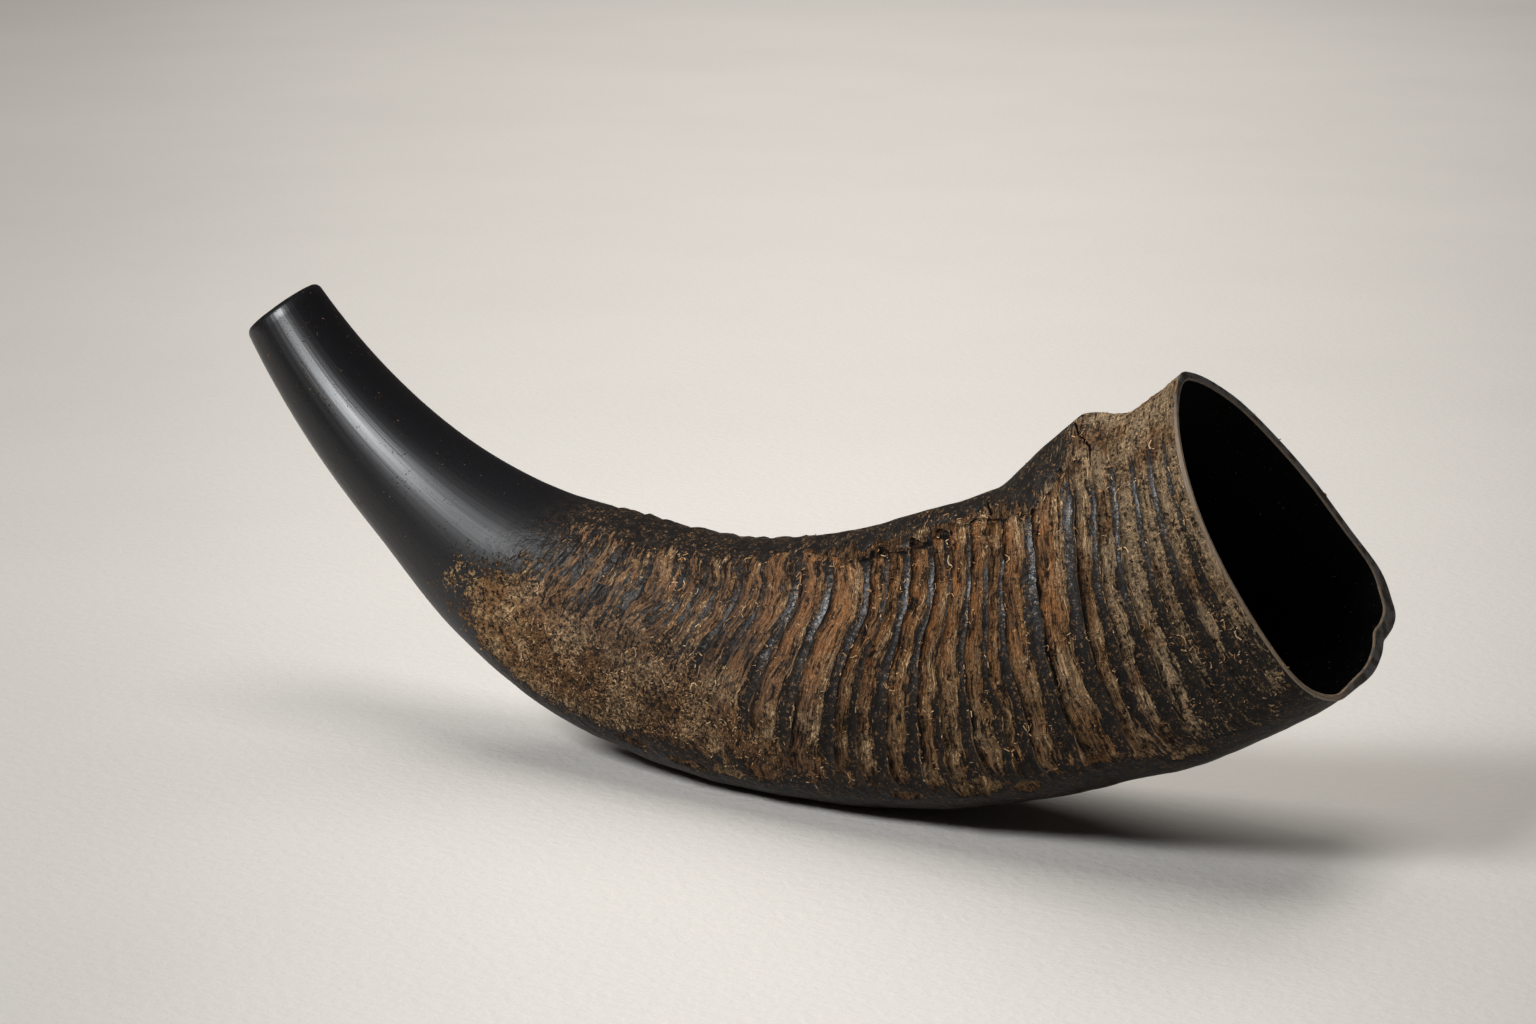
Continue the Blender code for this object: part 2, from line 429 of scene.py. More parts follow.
def hollow_outlines(t, around):
    """The hollow's rings, flaring to a thin rim at the mouth."""
    wall = hermite(RIM_WALL, around, 1)
    outer = knocked(outlines(OUTSIDE, t, around), t, around)
    thin = shrunk(outer, np.broadcast_to(wall, (len(t), len(around))))
    x = np.clip((1 - t) * LENGTH / RIM_FLARE, 0.0, 1.0)[:, None, None]
    return thin + (outlines(HOLLOW, t, around) - thin) * x * x * (3 - 2 * x)


def skin_rings():
    """Every ring from the middle of the tip's cut, over the outside and the rim of the
    mouth, to the blind end of the hollow: points, distances along and regions."""
    around = columns()
    rings, along, regions = [], [], []

    def add(pq, t, onward, region):
        rings.append(place(pq, t, onward))
        along.extend(t * LENGTH)
        regions.extend([region] * len(t))

    # the tip's cut face and its rounded edge
    face = np.array(TIP_FACE)
    turn = np.linspace(0.0, 0.5 * math.pi, TIP_EDGE_ROWS + 1)[:-1]
    reach = OUTSIDE[0][1] - TIP_EDGE_ROUND
    drawn_in = np.concatenate((reach * (1 - face) + TIP_EDGE_ROUND,
                               TIP_EDGE_ROUND * (1 - np.sin(turn))))
    onward = np.concatenate((0 * face, TIP_EDGE_ROUND * (1 - np.cos(turn))))
    t = np.zeros(len(drawn_in))
    add(shrunk(outlines(OUTSIDE, t, around), drawn_in), t, onward, SKIN)
    # the outside
    t = np.concatenate((
        np.linspace(TIP_EDGE_ROUND / LENGTH, RIDGED_FROM, SMOOTH_ROWS, endpoint=False),
        np.linspace(RIDGED_FROM, 1.0, RIDGED_ROWS, endpoint=False)))
    add(knocked(outlines(OUTSIDE, t, around), t, around), t, 0.0, SKIN)
    # the rim: outer edge, cut face, inner edge
    one = np.ones(1)
    outer = knocked(outlines(OUTSIDE, one, around), one, around)
    inner = hollow_outlines(one, around)
    for share in (0.0, 0.35, 0.7, 1.0):
        bend = 0.5 * math.pi * share
        add(shrunk(outer, RIM_EDGE_ROUND * (1 - math.cos(bend)) * one), one,
            -RIM_EDGE_ROUND * (1 - math.sin(bend)), RIM)
    for share in (0.2, 0.4, 0.6, 0.8):
        add(outer + (inner - outer) * share, one, 0.0, RIM)
    for share in (0.0, 0.5, 1.0):
        bend = 0.5 * math.pi * share
        add(shrunk(inner, -RIM_EDGE_ROUND * (1 - math.sin(bend)) * one), one,
            -RIM_EDGE_ROUND * (1 - math.cos(bend)), RIM_INNER)
    # the hollow and its rounded blind end
    end = HOLLOW[0][0]
    t = 1.0 - (1.0 - end) * np.linspace(0.0, 1.0, HOLLOW_ROWS)[1:] ** 1.4
    add(hollow_outlines(t, around), t, 0.0, INSIDE)
    bend = np.linspace(0.0, 0.5 * math.pi, 7)[1:-1]
    t = np.full(len(bend), end)
    last = outlines(HOLLOW, t, around)
    middle = last.mean(axis=1, keepdims=True)
    add(middle + (last - middle) * np.cos(bend)[:, None, None], t,
        -BLIND_END_LENGTH * np.sin(bend), INSIDE)
    return np.concatenate(rings), np.array(along), np.array(regions), around


def skin_mesh():
    """The bare skin as one closed mesh that lies in the plain body's box."""
    rings, along, regions, around = skin_rings()
    rows, cols = rings.shape[:2]
    outer_rows = len(TIP_FACE) + TIP_EDGE_ROWS + SMOOTH_ROWS + RIDGED_ROWS
    outside = rings[:outer_rows].reshape(-1, 3)
    low, high = outside.min(axis=0), outside.max(axis=0)
    cad_low, cad_high = np.array(HORN_LOW), np.array(HORN_HIGH)
    shift = (cad_low + cad_high - low - high) / 2
    shift[2] = cad_high[2] - high[2]
    rings = rings + shift
    tip, blind = rings[0].mean(axis=0), rings[-1].mean(axis=0)
    points = np.concatenate((rings.reshape(-1, 3), [tip, blind]))
    points[:, 2] = np.maximum(points[:, 2], cad_low[2])
    grid = np.arange(rows * cols).reshape(rows, cols)
    turned = np.roll(grid, -1, axis=1)
    quads = np.stack((grid[:-1], turned[:-1], turned[1:], grid[1:]), axis=2).reshape(-1, 4)
    caps = [(int(b), int(a), rows * cols) for a, b in zip(grid[0], turned[0])]
    caps += [(int(a), int(b), rows * cols + 1) for a, b in zip(grid[-1], turned[-1])]
    mesh = bpy.data.meshes.new("horn_skin")
    mesh.from_pydata(points.tolist(), [], quads.tolist() + caps)
    per_point = {
        "along": np.append(np.repeat(along, cols), (0.0, along[-1])),
        "around": np.append(np.tile(around, rows), (0.0, 0.0)),
        "region": np.append(np.repeat(regions, cols), (SKIN, INSIDE)).astype(float),
    }
    for name, values in per_point.items():
        mesh.attributes.new(name, "FLOAT", "POINT").data.foreach_set("value", values)
    mesh.validate()
    mesh.update()
    return mesh


# -------- the skin's relief


def ridge_group():
    """One growth ridge: gentle towards the tip, steep with a foot behind it that the skin cuts in
    and paints dark as shade.
    """
    g = Growth("growth ridge",
               ("Label", "Place", "Half width", "Height", "Crest so far", "Foot so far"),
               ("Crest", "Foot"))
    x = (g.given("Label") - g.given("Place")) / g.given("Half width")
    rise = g.step(x, -1.9, 0.1)
    fall = g.step(x, 0.3, 0.85, 1.0, 0.0)
    crest = rise * fall * g.given("Height")
    foot = g.step(abs(x - 1.0), 0.0, 0.45, 1.0, 0.0) * g.given("Height")
    g.join(g.end.inputs["Crest"], g.highest(g.given("Crest so far"), crest))
    g.join(g.end.inputs["Foot"], g.highest(g.given("Foot so far"), foot))
    return g.tree


def patch_group():
    """One ragged spot of crust, an ellipse on the skin."""
    g = Growth("crust patch",
               ("Along", "Around", "Ragged", "Patch along", "Patch around", "Half length",
                "Half width", "So far"), ("Cover",))
    x = (g.given("Along") - g.given("Patch along")) / g.given("Half length")
    y = (g.given("Around") - g.given("Patch around")) * GIRTH / g.given("Half width")
    far = g.math("SQRT", x * x + y * y) + g.given("Ragged")
    g.join(g.end.inputs["Cover"], g.highest(g.given("So far"), g.step(far, 0.7, 1.25, 1.0, 0.0)))
    return g.tree


def relief_tree():
    """Raises the ridges, cuts the grooves, roughens the crust and notes what is where."""
    g = Growth("horn relief",
               (("Geometry", "NodeSocketGeometry"), ("Ridge rise", NUMBER, 0.0005),
                ("Groove depth", NUMBER, 0.0019), ("Crust roughness", NUMBER, 0.0005),
                "Floor height", ("Skin", MATERIAL), ("Cut face", MATERIAL),
                ("Inside", MATERIAL)))
    spot = g.position_mm()
    s = g.attribute("along")
    u = g.attribute("around")
    outer = g.step(g.attribute("region"), 0.0, 0.5, 1.0, 0.0)
    t = s / LENGTH
    v = abs(u * 2.0 - 1.0)

    # the ridges bow towards the mouth on the upper flank
    bow = g.curve(v, (0.30, 0.0), (0.36, 0.0), (0.5, 0.25), (0.6, 0.47), (0.7, 0.84),
                  (0.76, 1.0), (0.82, 0.87), (0.88, 0.56), (1.0, 0.4))
    bow_reach = g.curve(t, (0.0, 0.6), (0.45, 0.6), (0.5, 1.0), (0.7, 1.0), (0.75, 0.8),
                        (0.8, 0.55), (0.845, 0.25), (0.88, 0.35), (0.92, 0.4),
                        (0.95, 0.3), (1.0, 0.0))
    wander = (g.noise(spot, 1 / 20, 1.0) - 0.5) * 6.0 + (g.noise(spot, 1 / 6) - 0.5) * 1.8
    steady = g.step(t, 0.9, 0.98, 1.0, 0.35)
    label = s - bow * bow_reach * RIDGE_SWAY + wander * steady
    angle = u * (2 * math.pi)
    grain = g.vector(label, g.math("COSINE", angle) * GRAIN_RADIUS,
                     g.math("SINE", angle) * GRAIN_RADIUS)

    tree = ridge_group()
    plate = g.grained(grain, 0.45, 0.06, 3.0, 0.6)
    crest, foot = 0.0, 0.0
    for at, half, height in RIDGES:
        values = (label, float(at), half, height, crest, foot)
        n = g.node("GeometryNodeGroup", enumerate(values), node_tree=tree)
        crest, foot = g.out(n, "Crest"), g.out(n, "Foot")
    uneven = g.step(g.grained(grain, 0.08, 0.03), 0.3, 0.7,
                    0.55, 1.1, smooth=False)

    # how far down and up the flank the grooves go
    ragged = (g.grained(grain, 0.35, 0.12) - 0.5)
    lower = g.curve(t, (0.0, 0.62), (0.45, 0.62), (0.5, 0.56), (0.55, 0.48), (0.6, 0.42),
                    (0.64, 0.37), (1.0, 0.34))
    low = g.step(v + ragged * 0.14, lower - 0.01, lower + 0.09)
    upper = g.curve(t, (0.0, 0.90), (0.6, 0.90), (0.64, 0.875), (0.7, 0.872), (0.76, 0.885),
                    (0.79, 0.875), (0.815, 0.84), (0.84, 0.82), (0.86, 0.81), (0.875, 0.84),
                    (0.89, 0.93), (0.905, 1.1), (1.0, 1.2), top=1.3)
    chipped = (g.noise(spot, 1 / 6, 3.0) - 0.5) * 0.13
    sharp = g.step(t, 0.56, 0.66, 0.05, 0.007)
    past = v + chipped - upper
    high = g.step(past, -sharp, sharp, 1.0, 0.0)
    tall = g.curve(t, (0.28, 0.0), (0.33, 0.12), (0.38, 0.26), (0.5, 0.36), (0.56, 0.62),
                   (0.64, 1.0), (0.89, 1.0), (0.93, 0.75), (1.0, 0.5))
    over_hump = 1.0 - g.step(v, 0.76, 0.93) * g.step(t, 0.84, 0.88)
    zone = low * high * tall * over_hump * outer

    # where the fibre crust covers the horn
    start = g.curve(v, (0.3, 0.33), (0.4, 0.305), (0.6, 0.300), (0.64, 0.315), (0.7, 0.333),
                    (0.75, 0.345), (0.82, 0.335), (0.88, 0.325), (1.0, 0.36))
    begun = g.step(t - start + (g.noise(spot, 1 / 4, 3.0) - 0.5) * 0.10, -0.045, 0.075)
    margin = g.curve(t, (0.28, 0.34), (0.36, 0.31), (0.45, 0.34), (0.5, 0.37), (0.6, 0.355),
                     (0.8, 0.345), (0.88, 0.31), (0.94, 0.25), (1.0, 0.2))
    above_margin = g.step(v + ragged * 0.14, margin - 0.035, margin + 0.06)
    hump = g.step(t, 0.865, 0.92)
    band = g.curve(t, (0.3, 0.87), (0.45, 0.875), (0.6, 0.89), (0.64, 0.895), (1.0, 0.895))
    back = g.step(v + chipped * 0.5 - band, -0.02, 0.04)
    bare_back = g.highest(back, g.step(past, -0.03, 0.06)) * (1.0 - hump)
    sparse = g.step(v, 0.56, 0.70) * g.step(t, 0.56, 0.42)
    cover = begun * above_margin * (1.0 - bare_back * 0.8) * (1.0 - sparse * 0.4)
    patch = patch_group()
    spots = 0.0
    for at, turn, half_long, half_wide in PATCHES:
        values = (s, u, ragged * 2.2, at * LENGTH, turn, half_long, half_wide, spots)
        n = g.node("GeometryNodeGroup", enumerate(values), node_tree=patch)
        spots = g.out(n, "Cover")
    lip = g.step(abs(past - 0.022), 0.0, 0.02, 0.9, 0.0) * g.step(t, 0.58, 0.66)
    cover = g.highest(g.highest(cover, spots), lip) * outer

    # heights, in metres along the normal
    depth = g.given("Groove depth") * g.step(past, -0.16, -0.02, 1.0, 1.5)
    relief = zone * uneven * (crest * (depth + g.given("Ridge rise")) - depth)
    foot_cut = zone * foot * depth * -0.6
    plated = g.step(t, 0.32, 0.38) * g.step(t, 0.72, 0.58) * g.step(v, 0.5, 0.62) * high * outer
    plated = plated * (1.0 - back)
    plates = (g.step(plate, 0.46, 0.56) - 0.5) * plated * 0.00045
    plates = plates * g.step(v, 0.92, 0.84)
    furrow = (g.grained(grain, 0.55, 0.09) - 0.5) * 2.0
    ledge = g.step(past, 0.045, -0.002) * g.step(past, -0.006, 0.006) * g.step(t, 0.58, 0.66)
    ledge = ledge * g.step(t, 0.90, 0.87)
    lump = (g.noise(spot, 0.42, 3.0, 0.6) - 0.5) * 2.0
    rough = cover * (1.0 - crest * zone * 0.6) * g.step(t, 0.30, 0.42, 0.35, 1.0)
    rough = rough * (1.0 - g.step(v, 0.84, 0.93) * (1.0 - hump) * 0.75)
    fine = g.given("Crust roughness") * (rough * (lump * 0.8 + furrow * 0.75))
    swell = (g.noise(spot, 1 / 22) - 0.5) * g.step(t, 0.3, 0.45) * outer * 0.0022
    facet = (g.grained(grain, 0.008, 0.06, 1.0) - 0.5) * outer * 0.00014
    raised = spots * 0.0005 * outer
    offset = relief + foot_cut + plates + fine + swell + facet + raised + ledge * 0.0016

    normal = g.out(g.node("GeometryNodeInputNormal"))
    moved = g.node("GeometryNodeSetPosition",
                   (("Geometry", g.given("Geometry")), ("Offset", g.scaled(normal, offset))))
    # the belly stays flat where it rests
    parts = g.node("ShaderNodeSeparateXYZ",
                   ((0, g.out(g.node("GeometryNodeInputPosition"))),))
    level = g.vector(g.out(parts, 0), g.out(parts, 1),
                     g.highest(g.out(parts, 2), g.given("Floor height")))
    moved = g.node("GeometryNodeSetPosition",
                   (("Geometry", g.out(moved)), ("Position", level)))

    # what is where, for the finishes and the fibres; foot and ledge mark the lines that the skin
    # paints dark as shade
    black = g.curve(t, (0.3, 0.25), (0.4, 0.5), (0.5, 0.7), (0.62, 1.0), (0.9, 1.0), (1.0, 1.0))
    notes = {
        "flank": v, "grain": grain,
        "crest": crest * low * high * black * over_hump * outer,
        "groove": zone * (1.0 - crest), "plated": plated, "cover": cover,
        "foot": g.clamp(foot * zone),
        "ledge": (g.step(abs(past + 0.004), 0.0, 0.012, 1.0, 0.0) * g.step(t, 0.6, 0.66)
                  * g.step(t, 0.90, 0.87)),
        "side": g.math("SINE", angle),
    }
    shape = g.out(moved)
    for name, value in notes.items():
        shape = g.store(shape, name, value, "FLOAT_VECTOR" if name == "grain" else "FLOAT")
    smooth = g.node("GeometryNodeSetShadeSmooth", (("Geometry", shape), ("Shade Smooth", True)))
    shape = g.out(g.node("GeometryNodeRealizeInstances", (("Geometry", g.out(smooth)),)))
    region = g.attribute("region")
    for title, low_edge, high_edge in (("Skin", -1.0, 0.49), ("Cut face", 0.49, 1.51),
                                       ("Inside", 1.51, 3.0)):
        inside = g.math("LESS_THAN", region, high_edge) * g.math("GREATER_THAN", region, low_edge)
        n = g.node("GeometryNodeSetMaterial",
                   (("Geometry", shape), ("Selection", inside), ("Material", g.given(title))))
        shape = g.out(n)
    g.join(g.end.inputs[0], shape)
    return g


def fibre_tree():
    """Scatters short curled fibres over the crust of a skin, and keeps only the fibres."""
    g = Growth("crust fibres",
               (("Geometry", "NodeSocketGeometry"), ("Length", NUMBER, 0.0032),
                ("Thickness", NUMBER, 0.00034), ("Per square metre", NUMBER, 900000.0),
                ("Seed", "NodeSocketInt", 3), ("Fibre", MATERIAL)))
    length = g.given("Length")
    # one fibre, lying along X and bowing sideways and up in its middle
    arc = g.node("GeometryNodeCurveQuadraticBezier",
                 (("Resolution", 3), ("Start", g.vector(length * -0.5, 0.0, 0.0)),
                  ("Middle", g.vector(0.0, length * 0.55, g.given("Thickness") * 1.6)),
                  ("End", g.vector(length * 0.5, 0.0, 0.0))))
    ring = g.node("GeometryNodeCurvePrimitiveCircle",
                  (("Resolution", 3), ("Radius", g.given("Thickness") * 0.5)))
    fibre = g.node("GeometryNodeCurveToMesh",
                   (("Curve", g.out(arc)), ("Profile Curve", g.out(ring)), ("Fill Caps", True)))
    # where fibres grow: on the crust, fewer on the ridges' crests and in rust
    cover, crest = g.attribute("cover"), g.attribute("crest")
    along, flank = g.attribute("along") / LENGTH, g.attribute("flank")
    matted = g.step(g.noise(g.position_mm(), 1 / 7, 3.0), 0.42, 0.62)
    rim = g.step(abs(crest - 0.4), 0.1, 0.35, 1.0, 0.3)
    carpet = g.step(flank, 0.7, 0.5) * g.step(along, 0.66, 0.52)
    share = cover * cover * matted * (rim * 0.45 + carpet * 0.75)
    share = share * (1.0 - g.step(crest, 0.4, 0.9) * 0.8)
    outer = g.step(g.attribute("region"), 0.0, 0.5, 1.0, 0.0)
    spread = g.node("GeometryNodeDistributePointsOnFaces",
                    (("Mesh", g.given("Geometry")), ("Seed", g.given("Seed")),
                     ("Density", g.given("Per square metre") * g.clamp(share) * outer)),
                    distribute_method="RANDOM")
    points = g.store(g.out(spread, "Points"), "fibre_tone", g.random(0.0, 1.0, 11))
    spin = g.random(0.0, 2 * math.pi, 12)
    turned = g.node("FunctionNodeRotateRotation",
                    ((0, g.out(spread, "Rotation")), (1, g.vector(0.0, 0.0, spin))),
                    rotation_space="LOCAL")
    shape = g.vector(g.random(0.5, 1.4, 13), g.random(0.2, 1.6, 14), 1.0)
    sown = g.node("GeometryNodeInstanceOnPoints",
                  (("Points", points), ("Instance", g.out(fibre)),
                   ("Rotation", g.out(turned)), ("Scale", shape)))
    real = g.node("GeometryNodeRealizeInstances", (("Geometry", g.out(sown)),))
    n = g.node("GeometryNodeSetMaterial",
               (("Geometry", g.out(real)), ("Material", g.given("Fibre"))))
    g.join(g.end.inputs[0], g.out(n))
    return g


# -------- finishes


class Finish(Tree):
    """A material made of nodes on one Principled shader."""

    def __init__(self, name):
        self.material = bpy.data.materials.new(name)
        self.material.use_nodes = True
        super().__init__(self.material.node_tree)
        self.shader = self.tree.nodes["Principled BSDF"]

    def attribute(self, name, vector=False):
        n = self.node("ShaderNodeAttribute", attribute_name=name, attribute_type="GEOMETRY")
        return self.out(n, "Vector" if vector else "Fac")

    def position_mm(self):
        return self.scaled(self.out(self.node("ShaderNodeTexCoord"), "Object"), 1000.0)

    def coats(self, base, *coats):
        """A colour with others laid over it: pairs of a colour and its share."""
        for coat, share in coats:
            base = self.mix(base, coat, share)
        return base

    def set(self, **values):
        """Sockets by name, with _ for spaces."""
        for name, value in values.items():
            self.join(self.shader.inputs[name.replace("_", " ")], value)

    def bump(self, height, distance, before=None):
        """Fine relief: height 0..1 over a distance in metres."""
        n = self.node("ShaderNodeBump",
                      (("Height", height), ("Distance", distance), ("Strength", 1.0),
                       ("Normal", before)))
        return self.out(n, "Normal")

    def threads(self, vector, scale, width, bend=0.0):
        """Thin curling lines, 1 on the line, where noise passes its middle."""
        n = self.noise(vector, scale, 1.0, 0.5, bend)
        return self.step(abs(n - 0.5), 0.0, width, 1.0, 0.0)


def skin_finish(colours):
    """Polished black at the tip, fibre crust, black ridges and brown grooves."""
    f = Finish("horn skin")
    spot = f.position_mm()
    grain = f.attribute("grain", vector=True)
    along, flank, crest, groove, cover, foot, ledge, plated = map(
        f.attribute, ("along", "flank", "crest", "groove", "cover", "foot", "ledge", "plated"))
    t = along / LENGTH

    fine = f.noise(spot, 1.0, 3.0, 0.7)
    medium = f.noise(spot, 0.33, 3.0, 0.6)
    broad = f.noise(spot, 0.075, 3.0, 0.55)
    streak = f.grained(grain, 0.80, 0.15, 4.0, 0.65)
    fibre = f.grained(grain, 1.9, 0.22, 3.0, 0.65)
    bare_tip = f.step(t, 0.37, 0.29)
    lined = f.clamp(f.step(flank, 0.60, 0.72) + f.step(t, 0.50, 0.60))
    near_mouth = f.step(t, 0.87, 0.94)
    lined = lined * (1.0 - near_mouth * 0.45)
    edge = f.step(abs(crest - 0.45), 0.0, 0.3, 1.0, 0.0)

    # the cracks: thin lines painted dark as shade, and sunk by the bump
    crack = 0.0
    line = f.attribute("around") + (fine - 0.5) * 0.006
    for (t0, u0), (t1, u1) in CRACKS:
        run, turn = (t1 - t0) * LENGTH, (u1 - u0) * GIRTH
        x, y = along - t0 * LENGTH, (line - u0) * GIRTH
        part = f.clamp((x * run + y * turn) / (run * run + turn * turn))
        x, y = x - part * run, y - part * turn
        crack = f.highest(crack, f.step(f.math("SQRT", x * x + y * y), 0.3, 0.6, 1.0, 0.0))

    # thin pale hairs: curled on the carpet, along the ridges elsewhere
    curled = f.highest(f.threads(spot, 0.36, 0.055, 0.9), f.threads(spot, 0.62, 0.06, 1.2))
    straight = f.threads(f.stretched(grain, (0.75, 0.09, 0.09)), 1.0, 0.045, 0.3)
    straight = f.highest(straight, f.threads(f.stretched(grain, (1.5, 0.3, 0.3)), 1.0, 0.04, 0.5))
    hair = f.highest(curled * (1.0 - lined * 0.75), straight * lined)
    dense = 0.05 + 0.2 * edge + 0.12 * near_mouth + 0.14 * (1.0 - lined) + (broad - 0.5) * 0.35
    dense = dense + 0.04 * lined - f.step(t, 0.38, 0.5) * (1.0 - lined) * 0.05
    edging = f.step(abs(crest - 0.3), 0.0, 0.14, 1.0, 0.0) * f.step(streak, 0.46, 0.54)
    hair = f.highest(hair, edging * f.step(fine, 0.42, 0.55))
    hair = hair * f.step(fine * 0.6 + medium * 0.4 + dense, 0.54, 0.64)

    # what the crust is made of
    grit = f.mix(fine, fibre, lined * 0.75)
    body = f.mix(colours.deep_brown, colours.brown,
                 f.step(medium * 0.3 + grit * 0.7, 0.40, 0.60))
    rust = groove * f.step(flank, 0.48, 0.66) * f.step(t, 0.93, 0.87)
    rust = f.highest(rust, plated * 0.5)
    rust = f.clamp(rust * f.step(broad * 0.6 + streak * 0.25 + fibre * 0.15, 0.41, 0.53))
    hair = hair * (1.0 - rust * (1.0 - edge) * 0.6)
    warm = f.mix(colours.dark_rust_and_groove_shade, colours.rust, f.step(grit, 0.38, 0.60))
    # painted shade: darker rust deep in the grooves of the upper flank
    groove_shade = groove * f.step(flank, 0.70, 0.84) * f.step(t, 0.60, 0.68) * f.step(t, 0.90, 0.86)
    pale = f.step(t + (broad - 0.5) * 0.14 + f.step(flank, 0.72, 0.84) * 0.05, 0.86, 0.94)
    worn = f.step(broad * 0.3 + streak * 0.35 + grit * 0.35, 0.45, 0.57)
    worn_groove = f.highest(groove, plated * 0.8) * (1.0 - rust)
    thread = f.mix(colours.ochre, colours.tan, f.step(broad + pale * 0.1, 0.42, 0.6))
    golden = f.step(t, 0.41, 0.33) * f.step(flank, 0.64, 0.54) * f.step(medium, 0.42, 0.56)
    low_right = f.step(flank, 0.66, 0.56) * f.step(t, 0.64, 0.74) * f.step(t, 0.92, 0.88)
    pit = f.mix(f.noise(spot, 0.6, 3.0, 0.7), streak, lined * 0.65)
    pit = f.step(pit - 0.02 - (1.0 - lined) * 0.015, 0.47, 0.39)
    body = f.coats(
        body, (warm, rust), (colours.dark_rust_and_groove_shade, groove_shade * f.step(streak, 0.56, 0.44) * 0.55),
        (colours.grey_crust, pale * f.step(worn, 0.0, 1.0, 0.05, 0.95)),
        (colours.grey_crust, worn * worn_groove * 0.5), (colours.ochre, golden * 0.7),
        (thread, hair), (colours.deep_brown, f.step(t, 0.37, 0.47) * (1.0 - lined) * 0.35),
        (colours.ochre, low_right * f.step(grit, 0.42, 0.6) * 0.4),
        (colours.ridge_black, pit * (1.0 - hair * 0.6)))

    # smooth horn between and beyond the crust
    smooth = f.mix(colours.ridge_black, colours.worn_black,
                   f.step(medium, 0.45, 0.75))
    flecks = f.highest(f.step(fine, 0.65, 0.70), hair * 0.7 * f.step(fine, 0.53, 0.6))
    flecks = flecks * f.step(medium, 0.40, 0.52) * (1.0 - bare_tip)
    nick = f.step(fine, 0.665, 0.70) * f.step(medium, 0.45, 0.55) * bare_tip
    smooth = f.coats(smooth, (colours.ochre, flecks * 0.8), (colours.polished_black, bare_tip),
                     (colours.ochre, nick * 0.5))
    thin_low = f.step(flank, 0.62, 0.38) * f.curve(t, (0.54, 0.0), (0.64, 0.28), (0.74, 0.05),
                                                   (0.88, 0.2), (0.95, 0.75), (1.0, 0.75))
    covered = cover * 1.12 - crest * 1.05 - thin_low + (grit - 0.5) * f.mix(2.6, 1.3, lined)
    plate = f.grained(grain, 0.7, 0.08, 3.0, 0.6)
    covered = covered - f.step(plate, 0.50, 0.58) * plated * 0.6
    covered = covered + (streak - 0.5) * f.mix(0.4, 1.5, lined) + (broad - 0.5) * 0.8
    covered = f.step(covered, 0.38, 0.56)
    colour = f.mix(smooth, body, covered)
    # painted shade: near black in the crevice behind each ridge's foot, along the line under the
    # cornice and in the cracks
    dark = f.clamp(foot * f.step(streak, 0.30, 0.5) * 1.1 + ledge + crack)
    colour = f.mix(colour, colours.hollow_shade_black, dark)
    f.set(Base_Color=colour)

    # polished tip, glinting crests, satin back, dull crust
    silk = f.grained(grain, 0.03, 1.6, 3.0, 0.6)
    shine = f.step(silk, 0.3, 0.7, 0.29, 0.36, smooth=False) + f.step(t, 0.08, 0.30, 0.0, 0.13)
    satin = f.step(medium, 0.3, 0.7, 0.38, 0.56, smooth=False)
    glint = f.step(crest, 0.75, 1.0) * f.step(flank, 0.5, 0.66) * f.step(fine, 0.38, 0.58, 0.2, 1.0)
    rough = f.mix(f.mix(satin, 0.38, glint), shine, bare_tip)
    shiny = f.mix(f.mix(f.step(flank, 0.55, 0.75, 0.10, 0.25), 0.55, glint), 0.42, bare_tip)
    dull = f.mix(0.85, 0.55, plated)
    f.set(Roughness=f.mix(rough, dull, covered),
          Specular_IOR_Level=f.mix(shiny, f.mix(0.1, 0.35, plated), covered))
    rind = covered * (hair * 0.5 + grit * 0.9 + streak * 0.8)
    grains = f.bump(rind + (medium - 0.5) * 0.5 * (1.0 - bare_tip) - crack - nick * 0.6, 0.0015)
    ripple = f.grained(grain, 0.01, 0.35)
    f.set(Normal=f.bump(ripple * 0.5 + silk * 0.12, 0.00012, grains))
    return f.material


def fibre_finish(colours):
    """Dry fibres, each from dark ochre to tan."""
    f = Finish("crust fibres")
    tone = f.attribute("fibre_tone")
    spot = f.position_mm()
    mottle = f.noise(spot, 0.9)
    colour = f.mix(colours.brown, colours.ochre, f.step(tone, 0.0, 0.5))
    colour = f.mix(colour, colours.tan, f.step(tone + (mottle - 0.5) * 0.5, 0.55, 1.0))
    f.set(Base_Color=colour, Roughness=f.step(mottle, 0.3, 0.7, 0.7, 0.9),
          Normal=f.bump(mottle, 0.0001))
    return f.material


def cut_finish(colours):
    """The sawn rim of the mouth: dark grey horn with faint growth layers."""
    f = Finish("cut rim")
    spot = f.position_mm()
    speck = f.noise(spot, 1.2, 4.0, 0.6)
    broad = f.noise(spot, 0.3, 3.0)
    # the near side of the cut and its inner edge are paler grey
    near = f.step(f.attribute("side"), -0.1, -0.7)
    colour = f.mix(colours.rim_grey, colours.worn_black, f.step(broad, 0.4, 0.62))
    inner = f.step(f.attribute("region"), 1.05, 1.3) * f.step(broad, 0.35, 0.55, 0.2, 0.7)
    colour = f.coats(colour, (colours.grey_crust, near * 0.75),
                     (colours.tan, f.step(speck, 0.62, 0.75) * 0.5), (colours.grey_crust, inner))
    f.set(Base_Color=colour, Roughness=f.step(speck, 0.3, 0.7, 0.4, 0.6),
          Normal=f.bump(speck, 0.0002))
    return f.material


